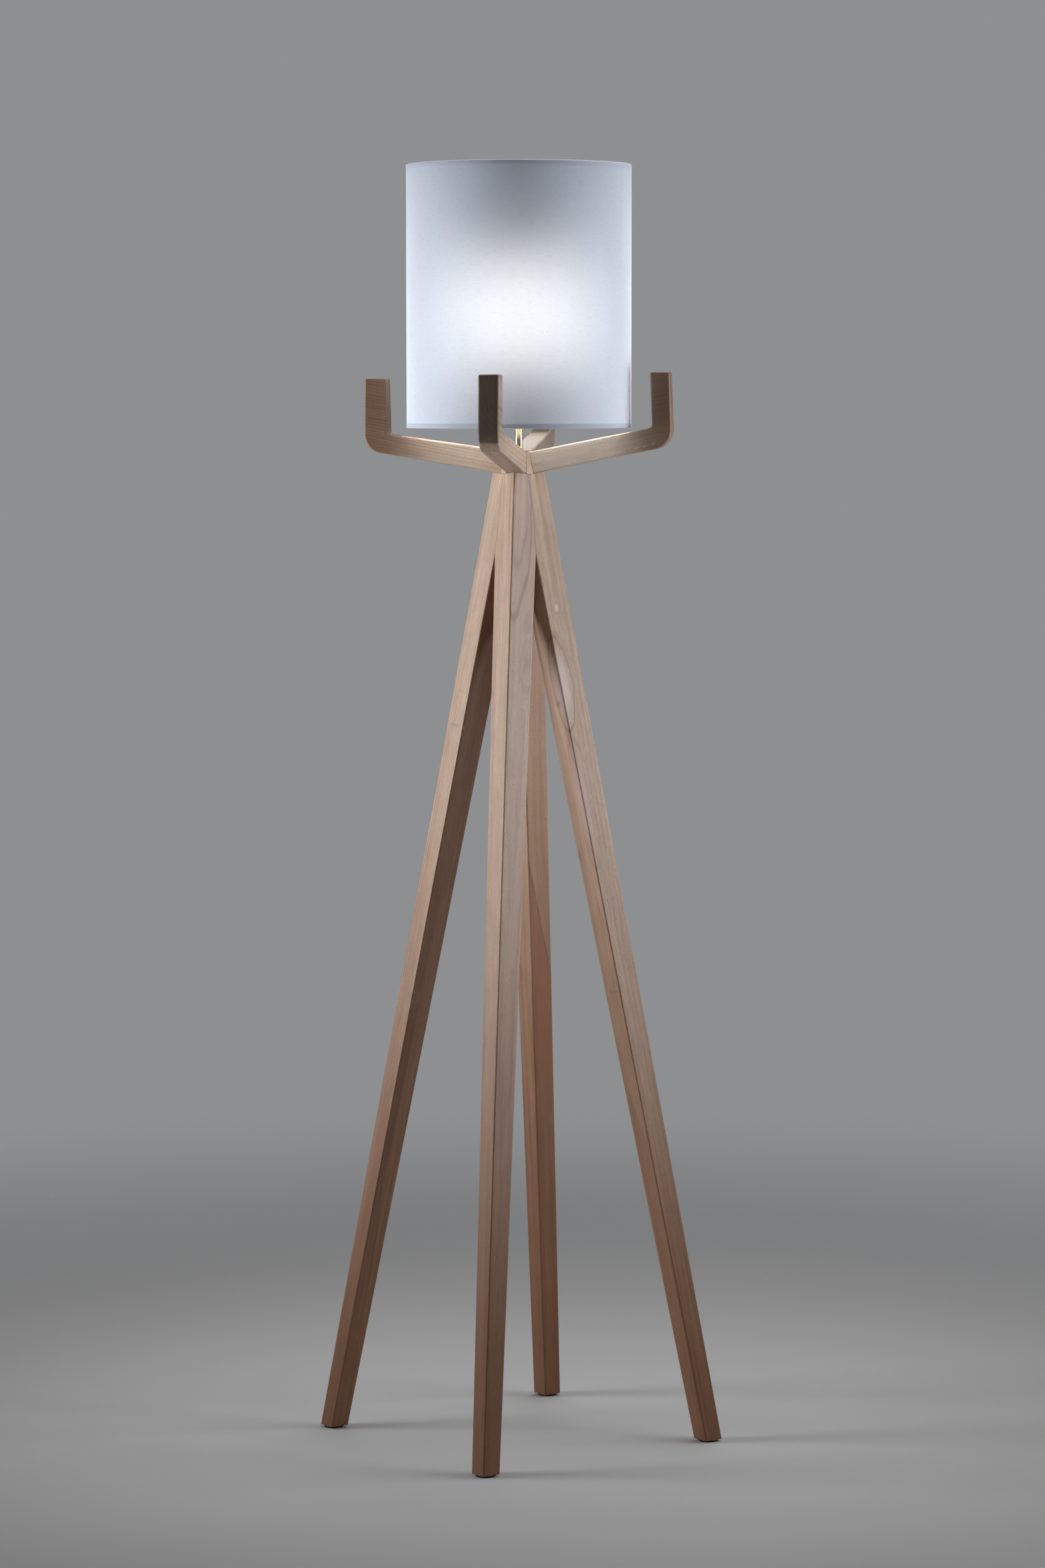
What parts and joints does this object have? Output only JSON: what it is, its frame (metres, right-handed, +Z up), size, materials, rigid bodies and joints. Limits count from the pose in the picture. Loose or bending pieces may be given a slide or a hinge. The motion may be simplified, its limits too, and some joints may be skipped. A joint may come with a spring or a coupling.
{
  "type": "floor lamp",
  "caption": "Floor lamp with splayed wooden legs, elbowed arms round a white fabric drum shade, a brass stem, a lampholder and a bulb.",
  "frame": {"origin": "on the floor, on the lamp's upright axis", "axes": "+Z up the stem, +X towards the right leg, -Y towards the front leg"},
  "size_m": [0.5498, 0.5498, 1.703],
  "materials": {
    "wood": "satin, straight grained, clear lacquer",
    "dowel_wood": "fluted beech, unfinished",
    "rubber": "matt black",
    "brass": "polished",
    "bulb_cap_metal": "bright rolled thread",
    "steel": "zinc plated",
    "holder_plastic": "white, semi-matt",
    "porcelain": "white glaze",
    "opal_glass": "white, frosted inside",
    "bulb_stem_glass": "clear",
    "insulator": "black, glossy",
    "shade_cotton": "plain-woven white cotton with slubs",
    "shade_lining": "white translucent lining film",
    "white_wire": "white enamel"
  },
  "bodies": {
    "stand": {"leg_front": "wood", "leg_right": "wood", "leg_back": "wood", "leg_left": "wood", "arm_front": "wood", "arm_right": "wood", "arm_back": "wood", "arm_left": "wood", "hub": "wood", "foot_pad_front": "rubber", "foot_pad_right": "rubber", "foot_pad_back": "rubber", "foot_pad_left": "rubber", "arm_dowel_front_lower": "dowel_wood", "arm_dowel_front_upper": "dowel_wood", "arm_dowel_right_lower": "dowel_wood", "arm_dowel_right_upper": "dowel_wood", "arm_dowel_back_lower": "dowel_wood", "arm_dowel_back_upper": "dowel_wood", "arm_dowel_left_lower": "dowel_wood", "arm_dowel_left_upper": "dowel_wood", "mitre_dowel_front": "dowel_wood", "mitre_dowel_right": "dowel_wood", "mitre_dowel_back": "dowel_wood", "mitre_dowel_left": "dowel_wood", "stem_tube": "brass", "stem_top_washer": "steel", "stem_top_nut": "brass", "stem_bottom_washer": "steel", "stem_bottom_nut": "brass", "cord_bushing": "rubber", "holder_cap": "holder_plastic", "holder_grub_screw": "steel", "holder_core": "porcelain", "holder_skirt": "holder_plastic", "holder_screw_shell": "brass", "holder_centre_contact": "brass", "terminal_screw_live": "brass", "terminal_screw_neutral": "brass"},
    "shade": {"shade_fabric": "shade_cotton", "shade_liner": "shade_lining", "shade_top_hoop": "white_wire", "shade_bottom_hoop": "white_wire", "shade_fitter_ring": "white_wire", "shade_spoke_1": "white_wire", "shade_spoke_2": "white_wire", "shade_spoke_3": "white_wire"},
    "shade_ring": {"shade_ring": "holder_plastic"},
    "bulb": {"bulb_glass": "opal_glass", "bulb_mount": "bulb_stem_glass", "bulb_filament": "steel", "bulb_cap": "bulb_cap_metal", "bulb_insulator": "insulator", "bulb_tip": "steel"}
  },
  "joints": [
    {"name": "shade_turn", "type": "hinge", "parent": "stand", "child": "shade", "pos_m": [0, 0, 1.4338], "axis": [0, 0, 1], "continuous": true},
    {"name": "shade_ring_turn", "type": "hinge", "parent": "stand", "child": "shade_ring", "pos_m": [0, 0, 1.4395], "axis": [0, 0, 1], "range_deg": [0, 2340]},
    {"name": "bulb_turn", "type": "hinge", "parent": "stand", "child": "bulb", "pos_m": [0, 0, 1.45], "axis": [0, 0, 1], "range_deg": [0, 1620]}
  ]
}
